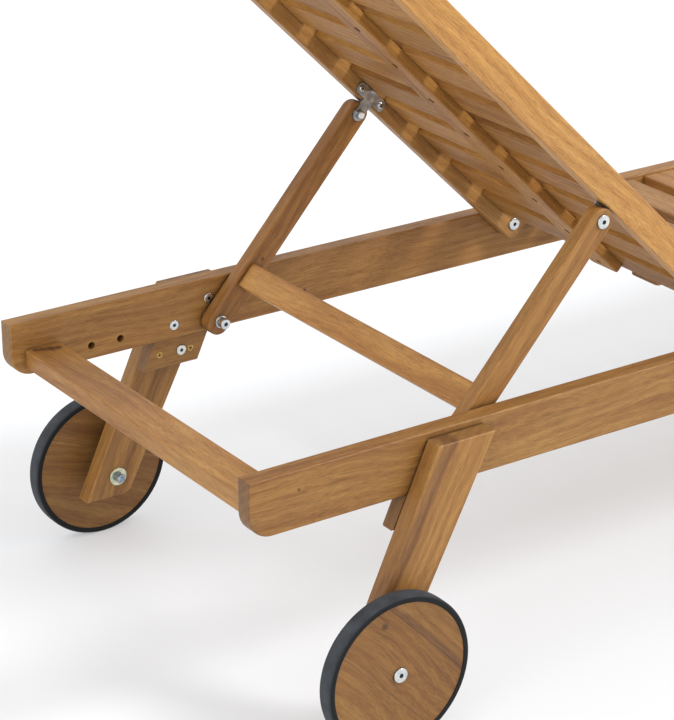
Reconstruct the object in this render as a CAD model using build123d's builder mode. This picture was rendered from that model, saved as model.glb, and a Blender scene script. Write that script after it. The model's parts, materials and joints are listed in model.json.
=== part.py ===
from build123d import *
import os
from math import cos, radians, sin

# Reclining sun lounger in oiled hardwood, millimetres.
# +X points to the foot end, +Y to the lounger's left side, +Z up.
# The origin is on the floor, under the middle of the frame.

os.makedirs("parts", exist_ok=True)

# ---- Overall sizes -------------------------------------------------------------
length = 1960.0
half_width = 288.0
head_x = -length / 2
edge_round = 2.5
hole_play = 0.1
running_play = 0.08

# ---- Side rails and crossbars --------------------------------------------------
rail_thick = 24.0
rail_height = 72.0
rail_top = 357.0
rail_bottom = rail_top - rail_height
rail_corner = 30.0
rail_inner = half_width - rail_thick
crossbar_inset = 20.0
crossbar_width = 50.0
crossbar_height = 25.0
crossbar_top = 320.0

# ---- Slats, their tenons and the battens that tie them -------------------------
slat_pitch = 77.0
slat_width = 55.0
slat_thick = 16.0
tenon_depth = 8.0
tenon_width = 36.0
tenon_thick = 8.0
tenon_play = 0.2
batten_width = 55.0
batten_thick = 13.0
batten_corner = 6.0
batten_end_inset = 8.0
batten_screw_sink = 4.0
slat_pilot_depth = 12.0

# ---- Seat ----------------------------------------------------------------------
seat_slat_count = 15
seat_start = 801.0
seat_top = 354.0
seat_batten_start = 808.0

# ---- Backrest ------------------------------------------------------------------
pivot_from_head = 776.0
pivot_height = 340.0
backrest_angle = 44.2
backrest_slat_count = 10
stile_length = 776.0
stile_tail = 18.0
stile_tail_round = 12.0
stile_top_round = 7.0
stile_depth = 38.0
stile_thick = 20.0
stile_inner = 240.0
first_backrest_slat = 54.0
backrest_slat_base = 1.0
backrest_batten_start = 38.0

# ---- Prop under the backrest ---------------------------------------------------
prop_pivot_along = 334.0
prop_pivot_below = 36.0
prop_arm_width = 32.0
prop_arm_thick = 20.0
prop_foot_tail = 3.5
prop_arm_inner = 240.4
prop_peg_height = 303.5
prop_length = 326.0
bracket_thick = 2.0
bracket_screw_reach = 20.5
bracket_screw_rise = -7.8
bracket_lobe = 8.0
bracket_foot_lobe = 9.0
prop_bar_start = 52.0
prop_bar_width = 35.0
prop_bar_thick = 18.0
prop_bar_shoulder = 5.0
peg_hole_positions = (115.0, 157.5, 294.7)
peg_hole_radius = 5.0
peg_hole_depth = 14.0

# ---- Legs ----------------------------------------------------------------------
leg_thick = 25.0
leg_top = 349.0
wheel_leg_bottom = 70.0
leg_head_edge = 240.5
leg_foot_edge = 320.5
leg_head_lean = 0.455
leg_foot_lean = 0.515
leg_heel_round = 16.0
cleat_thick = 20.0
cleat_height = 40.0
cleat_head_edge = 211.0
cleat_foot_edge = 292.0

# ---- Wheels --------------------------------------------------------------------
wheel_radius = 98.0
axle_from_head = 160.0
tyre_width = 22.0
tyre_thick = 6.0
tyre_lip = 2.0
tyre_edge_round = 3.0
disc_thick = 20.0
disc_inner_face = 331.0
axle_radius = 4.0

# ---- Fasteners -----------------------------------------------------------------
leg_bolt_radius = 3.0
leg_bolt_head_radius = 7.0
leg_bolt_head = 2.2
leg_bolt_grip = 18.0
rail_bolt_low = (238.5, 303.0)
rail_bolt_high = (290.5, 330.0)
leg_bolt_socket = 2.5
cleat_bolt = (249.5, 265.0)
cleat_screw_points = ((217.5, 264.5), (264.5, 264.0))
cleat_screw_length = 31.0
screw_radius = 2.0
screw_head_radius = 4.7
pan_head_radius = 4.4
pan_head = 2.2
pan_screw_length = 16.0
pivot_bolt_radius = 4.0
pivot_head_radius = 8.7
pivot_head = 2.4
pivot_head_gap = 0.2
pivot_bolt_grip = 17.0
pivot_washer_radius = 9.0
axle_head_radius = 9.3
axle_washer_radius = 12.5
axle_washer = 1.8
axle_spacer_radius = 11.0
wheel_side_play = 0.4
nut_radius = 7.5
nut_thick = 6.0
nut_collar_radius = 6.2
nut_collar = 2.0
prop_nut_radius = 7.0
prop_nut = 5.0
bolt_tip = 2.0
peg_nose = 2.2
peg_nose_radius = 4.6
peg_washer_radius = 8.5
peg_washer = 1.8
peg_nut = 4.5
peg_head_radius = 7.0
peg_head = 6.5
socket_radius = 2.9
socket_depth = 1.6

# ---- Values worked out from the sizes above ------------------------------------
pivot_x = head_x + pivot_from_head
leg_outer = half_width + leg_thick
disc_outer_face = disc_inner_face + disc_thick
tyre_inner_face = disc_inner_face - (tyre_width - disc_thick) / 2
disc_radius = wheel_radius - tyre_thick
angle = radians(backrest_angle)
up_stile = (-cos(angle), 0, sin(angle))
off_stile = (sin(angle), 0, cos(angle))
prop_top_x = pivot_x + prop_pivot_along * up_stile[0] - prop_pivot_below * off_stile[0]
prop_top_z = pivot_height + prop_pivot_along * up_stile[2] - prop_pivot_below * off_stile[2]
prop_rise = prop_top_z - prop_peg_height
prop_run = (prop_length**2 - prop_rise**2) ** 0.5
prop_foot_x = prop_top_x - prop_run
prop_axis = (prop_run / prop_length, 0, prop_rise / prop_length)
prop_arm_outer = prop_arm_inner + prop_arm_thick
stile_outer = stile_inner + stile_thick
cleat_inner = half_width - cleat_thick
bracket_face = stile_inner - bracket_thick
mortise_depth = tenon_depth + tenon_play
sides = (("left", 1), ("right", -1))
ends = (("wheel", 1), ("foot", -1))


def side_plane(y):
    """Upright plane at a given Y, its own x along +X and its own y up; it faces -Y."""
    return Plane.XZ.offset(-y)


def low_y(side, inner, outer):
    """Lower Y of a board that lies between two distances from the middle plane."""
    return inner if side > 0 else -outer


def high_y(side, inner, outer):
    """Higher Y of a board that lies between two distances from the middle plane."""
    return outer if side > 0 else -inner


def backrest_plane(y):
    """Plane at a given Y with x up the raised stile and y out of its sitting side."""
    return Plane(origin=(pivot_x, y, pivot_height), x_dir=up_stile, z_dir=(0, 1, 0))


def prop_plane(y):
    """Plane at a given Y with x from the peg up the prop arm."""
    return Plane(origin=(prop_foot_x, y, prop_peg_height), x_dir=prop_axis, z_dir=(0, 1, 0))


def facing(x, y, z, direction):
    """Plane at a point whose normal runs along +Y or -Y."""
    return Plane(origin=(x, y, z), x_dir=(1, 0, 0), z_dir=(0, direction, 0))


def stile_point(along, across, y):
    """Point given by its distance up the stile from the pivot and off its middle line."""
    x = pivot_x + along * up_stile[0] + across * off_stile[0]
    z = pivot_height + along * up_stile[2] + across * off_stile[2]
    return (x, y, z)


def from_head(distance, end=1):
    """X of a distance measured from the head end, or from the foot end when end is -1."""
    return end * (head_x + distance)


def save(piece, name):
    """Label a finished piece and write it to its own STEP file."""
    piece.label = name
    export_step(piece, f"parts/{name}.step")


seat_slat_starts = [seat_start + slat_pitch * i for i in range(seat_slat_count)]
backrest_slat_middles = [first_backrest_slat + slat_pitch * i for i in range(backrest_slat_count)]
seat_batten_end = seat_slat_starts[-1] + slat_width - batten_end_inset
backrest_batten_end = backrest_slat_middles[-1] + slat_width / 2 - batten_end_inset
leg_bolt_points = (rail_bolt_low, rail_bolt_high, cleat_bolt)

# ==== Fixed frame ===============================================================

# Side rails: tall boards with a large round under each end. Their inner faces hold
# the mortises of slats and crossbars, the blind peg holes and the pivot holes.
for side_name, side in sides:
    with BuildPart() as rail:
        with BuildSketch(side_plane(high_y(side, rail_inner, half_width))):
            with Locations((0, (rail_top + rail_bottom) / 2)):
                Rectangle(length, rail_height)
            fillet(vertices().group_by(Axis.Y)[0], rail_corner)
        extrude(amount=rail_thick)
        fillet(rail.faces().filter_by(Axis.Y).edges(), edge_round)
        inner_face = side * rail_inner
        mortise_y = side * (rail_inner + mortise_depth / 2)
        with Locations(
            [
                (from_head(start + slat_width / 2), mortise_y, seat_top - slat_thick / 2)
                for start in seat_slat_starts
            ]
        ):
            Box(tenon_width, mortise_depth, tenon_thick, mode=Mode.SUBTRACT)
        with Locations(
            [
                (from_head(crossbar_inset + crossbar_width / 2, end), mortise_y,
                 crossbar_top - crossbar_height / 2)
                for _, end in ends
            ]
        ):
            Box(tenon_width, mortise_depth, tenon_thick, mode=Mode.SUBTRACT)
        with Locations(
            [facing(from_head(d), inner_face, prop_peg_height, -side) for d in peg_hole_positions]
        ):
            Hole(peg_hole_radius, depth=peg_hole_depth)
        with Locations(facing(pivot_x, inner_face, pivot_height, -side)):
            Hole(pivot_bolt_radius + hole_play, depth=leg_bolt_grip)
        for _, end in ends:
            with Locations(
                facing(from_head(rail_bolt_low[0], end), inner_face, rail_bolt_low[1], -side)
            ):
                CounterBoreHole(
                    leg_bolt_radius + hole_play, leg_bolt_head_radius + hole_play, leg_bolt_head
                )
            with Locations(
                facing(from_head(rail_bolt_high[0], end), inner_face, rail_bolt_high[1], -side)
            ):
                Hole(leg_bolt_radius + hole_play)
    save(rail.part, f"rail_{side_name}")

# Crossbars: one flat board near each end, tenoned into both rails. The lowered
# backrest rests on the one at the head end.
for end_name, end in (("head", 1), ("foot", -1)):
    middle_x = from_head(crossbar_inset + crossbar_width / 2, end)
    middle_z = crossbar_top - crossbar_height / 2
    with BuildPart() as crossbar:
        with BuildSketch(side_plane(rail_inner)):
            with Locations((middle_x, middle_z)):
                Rectangle(crossbar_width, crossbar_height)
            fillet(vertices(), edge_round)
        extrude(amount=2 * rail_inner)
        with Locations((middle_x, 0, middle_z)):
            Box(
                tenon_width - tenon_play,
                2 * (rail_inner + tenon_depth),
                tenon_thick - tenon_play,
            )
    save(crossbar.part, f"crossbar_{end_name}")

# Seat slats: eased boards across the rails, with a stub tenon at each end and a
# pilot hole underneath for the batten's screw.
for number, start in enumerate(seat_slat_starts, 1):
    middle_x = from_head(start + slat_width / 2)
    middle_z = seat_top - slat_thick / 2
    with BuildPart() as seat_slat:
        with BuildSketch(side_plane(rail_inner)):
            with Locations((middle_x, middle_z)):
                Rectangle(slat_width, slat_thick)
            fillet(vertices(), edge_round)
        extrude(amount=2 * rail_inner)
        with Locations((middle_x, 0, middle_z)):
            Box(
                tenon_width - tenon_play,
                2 * (rail_inner + tenon_depth),
                tenon_thick - tenon_play,
            )
        with Locations(Plane((middle_x, 0, seat_top - slat_thick), z_dir=(0, 0, -1))):
            Hole(screw_radius + hole_play, depth=slat_pilot_depth)
    save(seat_slat.part, f"seat_slat_{number:02d}")

# Seat batten: a flat board along the middle, screwed up into every seat slat.
seat_batten_length = seat_batten_end - seat_batten_start
seat_batten_middle = from_head(seat_batten_start + seat_batten_length / 2)
seat_batten_base = seat_top - slat_thick - batten_thick
seat_screw_points = [
    Plane((from_head(start + slat_width / 2), 0, seat_batten_base), z_dir=(0, 0, -1))
    for start in seat_slat_starts
]
with BuildPart() as seat_batten:
    with BuildSketch(Plane.XY.offset(seat_batten_base)):
        with Locations((seat_batten_middle, 0)):
            RectangleRounded(seat_batten_length, batten_width, batten_corner)
    extrude(amount=batten_thick)
    fillet(faces().sort_by(Axis.Z)[0].edges(), edge_round)
    with Locations(seat_screw_points):
        CounterBoreHole(
            screw_radius + hole_play, screw_head_radius + hole_play, batten_screw_sink
        )
save(seat_batten.part, "seat_batten")


def pan_screw(sink):
    """One pan-head screw at the current location, its head towards +Z and sunk a little."""
    with Locations((0, 0, -sink)):
        Cylinder(pan_head_radius, pan_head, align=(Align.CENTER, Align.CENTER, Align.MIN))
        Cylinder(
            screw_radius, pan_screw_length, align=(Align.CENTER, Align.CENTER, Align.MAX)
        )


with BuildPart() as seat_batten_screws:
    for point in seat_screw_points:
        with Locations(point):
            pan_screw(batten_screw_sink)
save(seat_batten_screws.part, "seat_batten_screws")


# Legs: boards bolted to the rails' outer faces, leaning and a little narrower
# towards the floor. The wheel pair stops at the axle, the foot pair stands on the
# floor.
def leg_edges(z):
    """Distances from the rail's end of a leg's two edges at a height."""
    drop = leg_top - z
    return leg_head_edge - leg_head_lean * drop, leg_foot_edge - leg_foot_lean * drop


for side_name, side in sides:
    for end_name, end in ends:
        low = wheel_leg_bottom if end_name == "wheel" else 0.0
        low_head, low_foot = leg_edges(low)
        with BuildPart() as leg:
            with BuildSketch(side_plane(high_y(side, half_width, leg_outer))):
                with BuildLine():
                    Polyline(
                        (from_head(leg_head_edge, end), leg_top),
                        (from_head(leg_foot_edge, end), leg_top),
                        (from_head(low_foot, end), low),
                        (from_head(low_head, end), low),
                        close=True,
                    )
                make_face()
                if end_name == "wheel":
                    fillet(
                        vertices().group_by(Axis.Y)[0].sort_by(Axis.X)[-1], leg_heel_round
                    )
            extrude(amount=leg_thick)
            fillet(leg.faces().filter_by(Axis.Y).edges(), edge_round)
            inner_face = side * half_width
            with Locations(
                [facing(from_head(x, end), inner_face, z, -side) for x, z in leg_bolt_points]
            ):
                Hole(leg_bolt_radius + hole_play, depth=leg_bolt_grip + 1.0)
            with Locations(
                [facing(from_head(x, end), inner_face, z, -side) for x, z in cleat_screw_points]
            ):
                Hole(screw_radius + hole_play, depth=cleat_screw_length - cleat_thick + 1.0)
            if end_name == "wheel":
                with Locations(facing(from_head(axle_from_head), inner_face, wheel_radius, -side)):
                    Hole(axle_radius + hole_play)
        save(leg.part, f"{end_name}_leg_{side_name}")

# Leg cleats: short boards under each rail on the leg's inner face, their ends cut
# to the leg's slant, held by a bolt and two brass screws.
with BuildPart() as leg_cleats:
    for _, side in sides:
        for _, end in ends:
            slant = leg_head_lean * cleat_height
            with BuildSketch(side_plane(high_y(side, cleat_inner, half_width))):
                with BuildLine():
                    Polyline(
                        (from_head(cleat_head_edge, end), rail_bottom),
                        (from_head(cleat_foot_edge, end), rail_bottom),
                        (from_head(cleat_foot_edge - slant, end), rail_bottom - cleat_height),
                        (from_head(cleat_head_edge - slant, end), rail_bottom - cleat_height),
                        close=True,
                    )
                make_face()
            extrude(amount=cleat_thick)
            inner_face = side * cleat_inner
            with Locations(facing(from_head(cleat_bolt[0], end), inner_face, cleat_bolt[1], -side)):
                Hole(leg_bolt_radius + hole_play)
            with Locations(
                [facing(from_head(x, end), inner_face, z, -side) for x, z in cleat_screw_points]
            ):
                CounterSinkHole(screw_radius + hole_play, screw_head_radius + hole_play)
    fillet(
        leg_cleats.faces().filter_by(Axis.Z).sort_by(Axis.Z)[0:4].edges().filter_by(Axis.X),
        edge_round,
    )
save(leg_cleats.part, "leg_cleats")

# Leg bolts: flat-headed bolts with a hexagon socket, three to a leg, driven from
# the inner side. The low one sits flush in the rail, the others stand proud.
with BuildPart() as leg_bolts:
    for _, side in sides:
        for _, end in ends:
            for (x, z), seat in (
                (rail_bolt_low, rail_inner + leg_bolt_head),
                (rail_bolt_high, rail_inner),
                (cleat_bolt, cleat_inner),
            ):
                head_face = seat - leg_bolt_head
                shank = half_width + leg_bolt_grip - seat
                with Locations(facing(from_head(x, end), side * seat, z, -side)):
                    Cylinder(
                        leg_bolt_head_radius,
                        leg_bolt_head,
                        align=(Align.CENTER, Align.CENTER, Align.MIN),
                    )
                    Cylinder(
                        leg_bolt_radius, shank, align=(Align.CENTER, Align.CENTER, Align.MAX)
                    )
                with BuildSketch(facing(from_head(x, end), side * head_face, z, -side)):
                    RegularPolygon(leg_bolt_socket, 6)
                extrude(amount=-socket_depth, mode=Mode.SUBTRACT)
save(leg_bolts.part, "leg_bolts")

# Cleat screws: countersunk brass wood screws, two to a cleat.
with BuildPart() as cleat_screws:
    for _, side in sides:
        for _, end in ends:
            for x, z in cleat_screw_points:
                face_y = side * cleat_inner
                with Locations(facing(from_head(x, end), face_y, z, -side)):
                    Cone(
                        screw_radius,
                        screw_head_radius,
                        screw_head_radius - screw_radius,
                        align=(Align.CENTER, Align.CENTER, Align.MAX),
                    )
                    Cylinder(
                        screw_radius,
                        cleat_screw_length,
                        align=(Align.CENTER, Align.CENTER, Align.MAX),
                    )
save(cleat_screws.part, "cleat_screws")

# Backrest pivot bolts: each runs through the stile's foot into the rail, with its
# flat head on the stile's inner face.
with BuildPart() as backrest_pivot_bolts:
    for _, side in sides:
        head_seat = side * (stile_inner - pivot_head_gap)
        with Locations(facing(pivot_x, head_seat, pivot_height, -side)):
            Cylinder(
                pivot_head_radius, pivot_head, align=(Align.CENTER, Align.CENTER, Align.MIN)
            )
            Cylinder(
                pivot_bolt_radius,
                rail_inner - stile_inner + pivot_bolt_grip,
                align=(Align.CENTER, Align.CENTER, Align.MAX),
            )
        with BuildSketch(
            facing(pivot_x, head_seat - side * pivot_head, pivot_height, -side)
        ):
            RegularPolygon(socket_radius, 6)
        extrude(amount=-socket_depth, mode=Mode.SUBTRACT)
save(backrest_pivot_bolts.part, "backrest_pivot_bolts")

axle_x = from_head(axle_from_head)

# Washers: a thick one keeps each backrest stile off its rail, and a broad one sits
# under each axle's lock nut.
with BuildPart() as frame_washers:
    for _, side in sides:
        with BuildSketch(facing(pivot_x, side * rail_inner, pivot_height, -side)):
            Circle(pivot_washer_radius)
            Circle(pivot_bolt_radius + hole_play, mode=Mode.SUBTRACT)
        extrude(amount=rail_inner - stile_outer - pivot_head_gap)
        with BuildSketch(facing(axle_x, side * half_width, wheel_radius, -side)):
            Circle(axle_washer_radius)
            Circle(axle_radius + hole_play, mode=Mode.SUBTRACT)
        extrude(amount=axle_washer)
save(frame_washers.part, "frame_washers")

# ==== Wheels and axles ==========================================================

# Axle bolts: they run from a flat head outside the disc, through spacer and leg,
# to a washer and a lock nut on the leg's inner face. They do not turn.
axle_head_seat = disc_outer_face + wheel_side_play
axle_nut_seat = half_width - axle_washer
with BuildPart() as axle_bolts:
    for _, side in sides:
        with Locations(facing(axle_x, side * axle_head_seat, wheel_radius, side)):
            Cylinder(axle_head_radius, pivot_head, align=(Align.CENTER, Align.CENTER, Align.MIN))
            Cylinder(
                axle_radius,
                axle_head_seat - axle_nut_seat + nut_thick + nut_collar + bolt_tip,
                align=(Align.CENTER, Align.CENTER, Align.MAX),
            )
        with BuildSketch(
            facing(axle_x, side * (axle_head_seat + pivot_head), wheel_radius, side)
        ):
            RegularPolygon(socket_radius, 6)
        extrude(amount=-socket_depth, mode=Mode.SUBTRACT)
save(axle_bolts.part, "axle_bolts")

# Axle nuts: hexagonal lock nuts with a plain round collar.
with BuildPart() as axle_nuts:
    for _, side in sides:
        with BuildSketch(facing(axle_x, side * axle_nut_seat, wheel_radius, -side)):
            RegularPolygon(nut_radius, 6)
            Circle(axle_radius + hole_play, mode=Mode.SUBTRACT)
        extrude(amount=nut_thick)
        with BuildSketch(facing(axle_x, side * (axle_nut_seat - nut_thick), wheel_radius, -side)):
            Circle(nut_collar_radius)
            Circle(axle_radius + hole_play, mode=Mode.SUBTRACT)
        extrude(amount=nut_collar)
save(axle_nuts.part, "axle_nuts")

# Axle spacers: short tubes that hold each wheel clear of its leg.
with BuildPart() as axle_spacers:
    for _, side in sides:
        with BuildSketch(facing(axle_x, side * leg_outer, wheel_radius, side)):
            Circle(axle_spacer_radius)
            Circle(axle_radius + hole_play, mode=Mode.SUBTRACT)
        extrude(amount=disc_inner_face - leg_outer - wheel_side_play)
save(axle_spacers.part, "axle_spacers")

for side_name, side in sides:
    # Wheel disc: boards glued edge to edge, turned round and bored for the axle.
    with BuildPart() as disc:
        with BuildSketch(facing(axle_x, side * disc_inner_face, wheel_radius, side)):
            Circle(disc_radius)
            Circle(axle_radius + running_play, mode=Mode.SUBTRACT)
        extrude(amount=disc_thick)
    save(disc.part, f"wheel_disc_{side_name}")

    # Tyre: a rubber channel stretched over the disc, with a low lip on each face.
    with BuildPart() as tyre:
        with BuildSketch(facing(axle_x, side * tyre_inner_face, wheel_radius, side)):
            Circle(wheel_radius)
        extrude(amount=tyre_width)
        fillet(tyre.edges().filter_by(GeomType.CIRCLE), tyre_edge_round)
        with BuildSketch(facing(axle_x, side * tyre_inner_face, wheel_radius, side)):
            Circle(disc_radius - tyre_lip)
        extrude(amount=tyre_width, mode=Mode.SUBTRACT)
        with BuildSketch(facing(axle_x, side * disc_inner_face, wheel_radius, side)):
            Circle(disc_radius)
        extrude(amount=disc_thick, mode=Mode.SUBTRACT)
    save(tyre.part, f"tyre_{side_name}")

# ==== Backrest ==================================================================

bracket_screw_points = [
    (prop_pivot_along + reach, bracket_screw_rise)
    for reach in (-bracket_screw_reach, bracket_screw_reach)
]

# Stiles: the two long boards of the backrest. Each turns on a bolt near its lower
# end, and its inner face holds the slats' mortises and the bracket's screws.
for side_name, side in sides:
    with BuildPart() as stile:
        with BuildSketch(backrest_plane(low_y(side, stile_inner, stile_outer))):
            with Locations(((stile_length - stile_tail) / 2, 0)):
                Rectangle(stile_length + stile_tail, stile_depth)
            fillet(vertices().group_by(Axis.X)[0], stile_tail_round)
            fillet(vertices().group_by(Axis.X)[-1], stile_top_round)
        extrude(amount=stile_thick)
        fillet(stile.faces().filter_by(Axis.Y).edges(), edge_round)
        with BuildSketch(backrest_plane(low_y(side, stile_inner, stile_inner + mortise_depth))):
            with Locations(
                [(along, backrest_slat_base + slat_thick / 2) for along in backrest_slat_middles]
            ):
                Rectangle(tenon_width, tenon_thick)
        extrude(amount=mortise_depth, mode=Mode.SUBTRACT)
        with BuildSketch(backrest_plane(low_y(side, stile_inner, stile_outer))):
            Circle(pivot_bolt_radius + running_play)
        extrude(amount=stile_thick, mode=Mode.SUBTRACT)
        with Locations(
            [
                facing(*stile_point(along, across, side * stile_inner), -side)
                for along, across in bracket_screw_points
            ]
        ):
            Hole(screw_radius + hole_play, depth=15.0)
    save(stile.part, f"backrest_stile_{side_name}")

# Backrest slats: the same boards as the seat's, tenoned into the stiles.
for number, along in enumerate(backrest_slat_middles, 1):
    across = backrest_slat_base + slat_thick / 2
    with BuildPart() as backrest_slat:
        with BuildSketch(backrest_plane(-stile_inner)):
            with Locations((along, across)):
                Rectangle(slat_width, slat_thick)
            fillet(vertices(), edge_round)
        extrude(amount=2 * stile_inner)
        with BuildSketch(backrest_plane(-stile_inner - tenon_depth)):
            with Locations((along, across)):
                Rectangle(tenon_width - tenon_play, tenon_thick - tenon_play)
        extrude(amount=2 * (stile_inner + tenon_depth))
        underside = Plane(
            stile_point(along, backrest_slat_base, 0), z_dir=[-v for v in off_stile]
        )
        with Locations(underside):
            Hole(screw_radius + hole_play, depth=slat_pilot_depth)
    save(backrest_slat.part, f"backrest_slat_{number:02d}")

# Backrest batten: a flat board under the middle of the slats, thinner than the
# stiles are deep, screwed into every slat.
batten_length = backrest_batten_end - backrest_batten_start
batten_base = backrest_slat_base - batten_thick
backrest_screw_points = [
    Plane(stile_point(along, batten_base, 0), z_dir=[-v for v in off_stile])
    for along in backrest_slat_middles
]
with BuildPart() as backrest_batten:
    batten_plane = Plane(
        stile_point(backrest_batten_start + batten_length / 2, batten_base, 0),
        x_dir=up_stile,
        z_dir=off_stile,
    )
    with BuildSketch(batten_plane):
        RectangleRounded(batten_length, batten_width, batten_corner)
    extrude(amount=batten_thick)
    fillet(faces().sort_by(Axis((0, 0, 0), off_stile))[0].edges(), edge_round)
    with Locations(backrest_screw_points):
        CounterBoreHole(
            screw_radius + hole_play, screw_head_radius + hole_play, batten_screw_sink
        )
save(backrest_batten.part, "backrest_batten")

# Backrest screws: alike pan-head screws, one up through the batten into each slat
# and two through each prop bracket into its stile.
with BuildPart() as backrest_screws:
    for point in backrest_screw_points:
        with Locations(point):
            pan_screw(batten_screw_sink)
    for _, side in sides:
        for along, across in bracket_screw_points:
            seat = stile_point(along, across, side * bracket_face)
            with Locations(facing(*seat, -side)):
                pan_screw(0)
save(backrest_screws.part, "backrest_screws")

# Prop brackets: zinc plates with three lobes. Two lobes are screwed to the stile's
# inner face, the third reaches below it and carries the prop's pivot bolt.
with BuildPart() as prop_brackets:
    for _, side in sides:
        with BuildSketch(backrest_plane(low_y(side, bracket_face, stile_inner))):
            with Locations((prop_pivot_along, bracket_screw_rise)):
                SlotCenterToCenter(2 * bracket_screw_reach, 2 * bracket_lobe)
            with Locations((prop_pivot_along, (bracket_screw_rise - prop_pivot_below) / 2)):
                Rectangle(2 * bracket_lobe, prop_pivot_below + bracket_screw_rise)
            with Locations((prop_pivot_along, -prop_pivot_below)):
                Circle(bracket_foot_lobe)
            with Locations(bracket_screw_points):
                Circle(screw_radius + hole_play, mode=Mode.SUBTRACT)
            with Locations((prop_pivot_along, -prop_pivot_below)):
                Circle(pivot_bolt_radius + hole_play, mode=Mode.SUBTRACT)
        extrude(amount=bracket_thick)
save(prop_brackets.part, "prop_brackets")

# Prop pivot bolts: flat heads on the arms' outer faces, nuts inside the brackets.
with BuildPart() as prop_pivot_bolts:
    for _, side in sides:
        head_seat = prop_arm_outer + pivot_head_gap
        pivot_point = stile_point(prop_pivot_along, -prop_pivot_below, side * head_seat)
        with Locations(facing(*pivot_point, side)):
            Cylinder(
                pivot_head_radius, pivot_head, align=(Align.CENTER, Align.CENTER, Align.MIN)
            )
            Cylinder(
                pivot_bolt_radius,
                head_seat - bracket_face + prop_nut + bolt_tip,
                align=(Align.CENTER, Align.CENTER, Align.MAX),
            )
        socket_point = stile_point(
            prop_pivot_along, -prop_pivot_below, side * (head_seat + pivot_head)
        )
        with BuildSketch(facing(*socket_point, side)):
            RegularPolygon(socket_radius, 6)
        extrude(amount=-socket_depth, mode=Mode.SUBTRACT)
save(prop_pivot_bolts.part, "prop_pivot_bolts")

with BuildPart() as prop_pivot_nuts:
    for _, side in sides:
        nut_point = stile_point(prop_pivot_along, -prop_pivot_below, side * bracket_face)
        with BuildSketch(facing(*nut_point, -side)):
            RegularPolygon(prop_nut_radius, 6)
            Circle(pivot_bolt_radius + hole_play, mode=Mode.SUBTRACT)
        extrude(amount=prop_nut)
save(prop_pivot_nuts.part, "prop_pivot_nuts")

# ==== Prop ======================================================================

bar_middle = prop_bar_start + prop_bar_width / 2
bar_tenon_width = prop_bar_width - 2 * prop_bar_shoulder

# Prop arms: round-ended boards. The lower end carries the peg, the upper end turns
# on the bracket's bolt, and the inner face holds the bar's mortise.
for side_name, side in sides:
    with BuildPart() as arm:
        with BuildSketch(prop_plane(low_y(side, prop_arm_inner, prop_arm_outer))):
            with Locations(((prop_length - prop_foot_tail) / 2, 0)):
                SlotCenterToCenter(prop_length + prop_foot_tail, prop_arm_width)
        extrude(amount=prop_arm_thick)
        fillet(arm.faces().filter_by(Axis.Y).edges(), edge_round)
        with BuildSketch(prop_plane(low_y(side, prop_arm_inner, prop_arm_inner + mortise_depth))):
            with Locations((bar_middle, 0)):
                Rectangle(bar_tenon_width, tenon_thick)
        extrude(amount=mortise_depth, mode=Mode.SUBTRACT)
        with BuildSketch(prop_plane(low_y(side, prop_arm_inner, prop_arm_outer))):
            Circle(pivot_bolt_radius + hole_play)
            with Locations((prop_length, 0)):
                Circle(pivot_bolt_radius + running_play)
        extrude(amount=prop_arm_thick, mode=Mode.SUBTRACT)
    save(arm.part, f"prop_arm_{side_name}")

# Prop bar: the board that ties the two arms together.
with BuildPart() as prop_bar:
    with BuildSketch(prop_plane(-prop_arm_inner)):
        with Locations((bar_middle, 0)):
            Rectangle(prop_bar_width, prop_bar_thick)
        fillet(vertices(), edge_round)
    extrude(amount=2 * prop_arm_inner)
    with BuildSketch(prop_plane(-prop_arm_inner - tenon_depth)):
        with Locations((bar_middle, 0)):
            Rectangle(bar_tenon_width - tenon_play, tenon_thick - tenon_play)
    extrude(amount=2 * (prop_arm_inner + tenon_depth))
save(prop_bar.part, "prop_bar")

# Pegs: bolts through the arms' feet. The nose points at the rail's blind holes and
# stops just short of the rail; a socketed sleeve head stands out on the inner side.
peg_nut_seat = prop_arm_inner - peg_washer
peg_head_seat = peg_nut_seat - peg_nut
with BuildPart() as peg_bolts:
    for _, side in sides:
        with Locations(facing(prop_foot_x, side * prop_arm_outer, prop_peg_height, side)):
            Cylinder(peg_nose_radius, peg_nose, align=(Align.CENTER, Align.CENTER, Align.MIN))
            Cylinder(
                pivot_bolt_radius,
                prop_arm_outer - peg_head_seat,
                align=(Align.CENTER, Align.CENTER, Align.MAX),
            )
        with Locations(facing(prop_foot_x, side * peg_head_seat, prop_peg_height, -side)):
            Cylinder(peg_head_radius, peg_head, align=(Align.CENTER, Align.CENTER, Align.MIN))
        with BuildSketch(
            facing(prop_foot_x, side * (peg_head_seat - peg_head), prop_peg_height, -side)
        ):
            RegularPolygon(socket_radius, 6)
        extrude(amount=-socket_depth, mode=Mode.SUBTRACT)
save(peg_bolts.part, "peg_bolts")

with BuildPart() as peg_washers:
    for _, side in sides:
        with BuildSketch(facing(prop_foot_x, side * prop_arm_inner, prop_peg_height, -side)):
            Circle(peg_washer_radius)
            Circle(pivot_bolt_radius + hole_play, mode=Mode.SUBTRACT)
        extrude(amount=peg_washer)
save(peg_washers.part, "peg_washers")

with BuildPart() as peg_nuts:
    for _, side in sides:
        with BuildSketch(facing(prop_foot_x, side * peg_nut_seat, prop_peg_height, -side)):
            RegularPolygon(nut_radius, 6)
            Circle(pivot_bolt_radius + hole_play, mode=Mode.SUBTRACT)
        extrude(amount=peg_nut)
save(peg_nuts.part, "peg_nuts")
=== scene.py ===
import json
import math

import bpy
from mathutils import Euler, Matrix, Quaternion, Vector


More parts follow.
